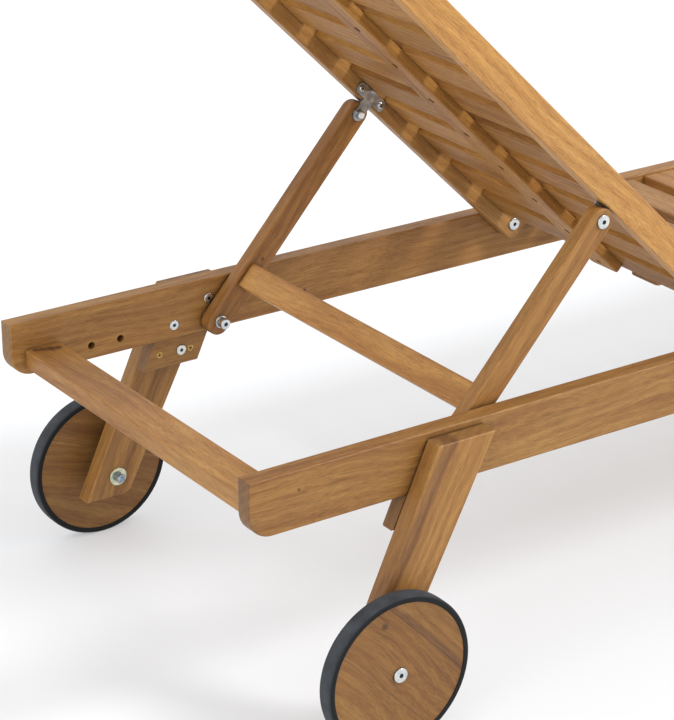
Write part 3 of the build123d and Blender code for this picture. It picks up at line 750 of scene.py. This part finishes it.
# Half of the channel's section: distances off the tyre's middle and from the axle.
tyre_half = (
    (0.0, 0.0980),
    (0.0050, 0.0980),
    (0.0083, 0.0978),
    (0.0101, 0.0970),
    (0.0108, 0.0957),
    (0.0109, 0.0938),
    (0.0110, 0.0915),
    (0.0108, 0.0906),
    (0.0104, 0.0902),
    (0.01005, 0.0903),
    (0.01002, 0.0920),
)
tyre_section = list(tyre_half) + [(-off, reach) for off, reach in reversed(tyre_half[1:])]
tyre_steps = 144
for name, side in (("left", 1), ("right", -1)):
    tyre_middle = axle + Vector((0, side * wheel_middle.y, 0))
    bpy.ops.object.select_all(action="DESELECT")
    bpy.ops.mesh.primitive_circle_add(vertices=len(tyre_section), radius=0.01)
    tyre = bpy.context.object
    for vertex, (off, reach) in zip(tyre.data.vertices, tyre_section):
        vertex.co = tyre_middle + Vector((0, off, reach))
    bpy.ops.object.mode_set(mode="EDIT")
    bpy.ops.mesh.select_all(action="SELECT")
    bpy.ops.mesh.spin(
        steps=tyre_steps, angle=2 * math.pi, center=tyre_middle, axis=(0, 1, 0)
    )
    bpy.ops.mesh.select_all(action="SELECT")
    bpy.ops.mesh.remove_doubles(threshold=0.00001)
    bpy.ops.mesh.normals_make_consistent(inside=False)
    bpy.ops.object.mode_set(mode="OBJECT")
    as_one([tyre], f"tyre_{name}_rubber")
    belongs(tyre, f"wheel_{name}", "tyre_rubber", [rubber], f"tyre_{name}")

# ---- Backrest stiles -----------------------------------------------------------
# The backrest's two long side boards, of oiled acacia with mortises for the slats.
# The right one is cut from a paler plank, and its colour is made lighter and less red still as a
# painted highlight for the key light's glare on it.
lean = math.radians(lounger_joints["backrest_recline"]["range_deg"][1])
up_the_stile = (0, lean, 0)
oil("backrest_stile_left", up_the_stile, 71.0, 1.03)
oil("backrest_stile_right", up_the_stile, 74.0, 1.46, 0.97)

# ---- Backrest slats ------------------------------------------------------------
# Ten boards like the seat's, tenoned between the stiles. They are oiled less than
# the rest, so they shine less.
backrest_slats = 10
less_oiled = 0.3
for count in range(1, backrest_slats + 1):
    # The seat's tones are darkened a little and made redder here as painted shade, for the shade
    # under the raised backrest and its warm bounce light.
    slat_tone = 0.95 * slat_tones[count + 3]
    slat_seed = 80.0 + 1.53 * count
    oil(f"backrest_slat_{count:02d}", along_y, slat_seed, slat_tone, 1.03, gloss=less_oiled)

# ---- Backrest batten -----------------------------------------------------------
# The flat board under the middle of the backrest's slats, screwed to each of them
# and oiled as little as they are.
oil("backrest_batten", up_the_stile, 97.0, 1.02, 1.02, gloss=less_oiled)

# ---- Prop ----------------------------------------------------------------------
# Two round-ended arms and the bar that ties them, which hold the backrest up. The
# arms are of redder boards, and the bar of a pale one.
prop_slope = math.radians(48.34)
up_the_arm = (0, -prop_slope, 0)
arm_knots = ((-0.6194, 0.2404, 0.3764, 0.0016),)
oil("prop_arm_left", up_the_arm, 101.0, 0.83, 1.06, knots=arm_knots)
oil("prop_arm_right", up_the_arm, 104.0, 0.90, 1.03)
oil("prop_bar", along_y, 107.0, 1.32)

# ---- Backrest screws -----------------------------------------------------------
# Zinc-plated pan-head screws: one sunk up through the batten into each slat, and two
# through each prop bracket into its stile.
up_stile = Vector((-math.cos(lean), 0, math.sin(lean)))
off_stile = Vector((math.sin(lean), 0, math.cos(lean)))
first_slat = 0.054
slat_pitch = 0.077
batten_under = -0.012
backrest_screw_spots = [
    (
        backrest_pivot
        + up_stile * (first_slat + slat_pitch * count)
        + off_stile * (batten_under + screw_sunk),
        -off_stile,
        0.7 * count,
    )
    for count in range(backrest_slats)
]
stile_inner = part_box("backrest_stile_left")[0].y
plate_thick = 0.002
plate_along = 0.334
plate_across = -0.0078
lobe_reach = 0.0205
for side in (1, -1):
    for reach in (-lobe_reach, lobe_reach):
        spot = backrest_pivot + up_stile * (plate_along + reach) + off_stile * plate_across
        spot.y = side * (stile_inner - plate_thick)
        backrest_screw_spots.append((spot, (0, -side, 0), 0.5 + 20 * reach))
backrest_screws = set_out(pan_screw(), "backrest_screws_pan", backrest_screw_spots)
belongs(backrest_screws, "backrest", "zinc", zinc, "backrest_screws")

# ---- Prop brackets -------------------------------------------------------------
# Pressed zinc plates with three round lobes, screwed to the stiles' inner faces. The
# third lobe hangs below the stile and carries the arm's bolt.
hanging_lobe = -0.036


def on_stile(along, across, y):
    """A point on a stile, from the backrest's pivot."""
    return backrest_pivot + up_stile * along + off_stile * across + Vector((0, y, 0))


def plate_lobe(radius, spot):
    """A round lobe of a bracket plate."""
    bpy.ops.object.select_all(action="DESELECT")
    bpy.ops.mesh.primitive_cylinder_add(
        vertices=64, radius=radius, depth=plate_thick, location=spot, rotation=(math.pi / 2, 0, 0)
    )
    bpy.ops.object.transform_apply(location=True, rotation=True, scale=True)
    return bpy.context.object


def plate_strip(length, width, spot):
    """A straight part of a bracket plate, its length along the stile."""
    bpy.ops.object.select_all(action="DESELECT")
    bpy.ops.mesh.primitive_cube_add(size=1, location=spot, rotation=(0, math.pi + lean, 0))
    bpy.context.object.scale = (length, plate_thick, width)
    bpy.ops.object.transform_apply(location=True, rotation=True, scale=True)
    return bpy.context.object


plates = []
for side in (1, -1):
    y = side * (stile_inner - plate_thick / 2)
    plate = plate_strip(2 * lobe_reach, 0.016, on_stile(plate_along, plate_across, y))
    halfway_down = (plate_across + hanging_lobe) / 2
    for part in (
        plate_lobe(0.008, on_stile(plate_along - lobe_reach, plate_across, y)),
        plate_lobe(0.008, on_stile(plate_along + lobe_reach, plate_across, y)),
        plate_strip(0.016, plate_across - hanging_lobe, on_stile(plate_along, halfway_down, y)),
        plate_lobe(0.009, on_stile(plate_along, hanging_lobe, y)),
    ):
        carved(plate, part, "UNION")
    bpy.ops.object.select_all(action="DESELECT")
    plate.select_set(True)
    bpy.context.view_layer.objects.active = plate
    bpy.ops.object.mode_set(mode="EDIT")
    bpy.ops.mesh.select_all(action="SELECT")
    bpy.ops.mesh.remove_doubles(threshold=0.00002)
    bpy.ops.mesh.dissolve_limited(angle_limit=math.radians(0.5))
    bpy.ops.mesh.normals_make_consistent(inside=False)
    bpy.ops.object.mode_set(mode="OBJECT")
    pressed = plate.modifiers.new("pressed_edge", "BEVEL")
    pressed.width = 0.0007
    pressed.segments = 3
    pressed.limit_method = "ANGLE"
    pressed.angle_limit = math.radians(50)
    bpy.ops.object.modifier_apply(modifier=pressed.name)
    plates.append(plate)
brackets = as_one(plates, "prop_brackets_pressed")
belongs(brackets, "backrest", "zinc", [zinc_dull], "prop_brackets")

# ---- Prop pivots ---------------------------------------------------------------
# A zinc-plated bolt through each arm's head and the bracket's lobe, with a hexagonal
# nut inside.
prop_bolt = as_one(
    [socket_head(0.0087, 0.0024, 0.0011, 0.0030), round_stock(0.004, -0.0296, 0.0001, 24)],
    "prop_bolt",
)
prop_pivot = Vector(lounger_joints["prop_swing"]["pos_m"])
prop_bolt_face = 0.2606
prop_bolt_spots = both_sides(prop_pivot, prop_bolt_face, 0.3, way=1)
prop_bolts = set_out(prop_bolt, "prop_pivot_bolts_plated", prop_bolt_spots)
belongs(prop_bolts, "backrest", "zinc", zinc, "prop_pivot_bolts")
prop_nut = as_one([bored(hexagon_nut(0.0070, 0.005), 0.005)], "prop_nut")
prop_nut_spots = both_sides(prop_pivot, stile_inner - plate_thick, 0.2)
prop_nuts = set_out(prop_nut, "prop_pivot_nuts_plated", prop_nut_spots)
belongs(prop_nuts, "backrest", "zinc", [zinc_dull], "prop_pivot_nuts")

# ---- Pegs ----------------------------------------------------------------------
# At the foot of each arm a zinc-plated bolt with a socketed sleeve stands out inwards
# over a nut and a washer; its nose points at the holes in the rail.
peg_foot = middle("peg_bolts")
arm_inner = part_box("prop_arm_left")[0].y
peg_nut_thick = 0.0045
peg_nut_face = arm_inner - washer_thick
peg_head_face = peg_nut_face - peg_nut_thick
peg = as_one(
    [
        socket_head(0.0070, 0.0065, 0.0009, 0.0031),
        round_stock(0.0040, -0.0264, 0.0001, 24),
        round_stock(0.0046, -0.0285, -0.0263, 32, start=0.0036),
    ],
    "peg",
)
pegs = set_out(peg, "peg_bolts_plated", both_sides(peg_foot, peg_head_face, 0.5))
belongs(pegs, "prop", "zinc", zinc, "peg_bolts")
peg_washer = ring(0.0085, bolt_bore, washer_thick, 0.0006)
peg_washers = set_out(peg_washer, "peg_washers_plated", both_sides(peg_foot, arm_inner))
belongs(peg_washers, "prop", "zinc", [zinc[0]], "peg_washers")
peg_nut = as_one([bored(hexagon_nut(0.0075, peg_nut_thick), peg_nut_thick)], "peg_nut")
peg_nuts = set_out(peg_nut, "peg_nuts_plated", both_sides(peg_foot, peg_nut_face, 0.6))
belongs(peg_nuts, "prop", "zinc", [zinc_dull], "peg_nuts")
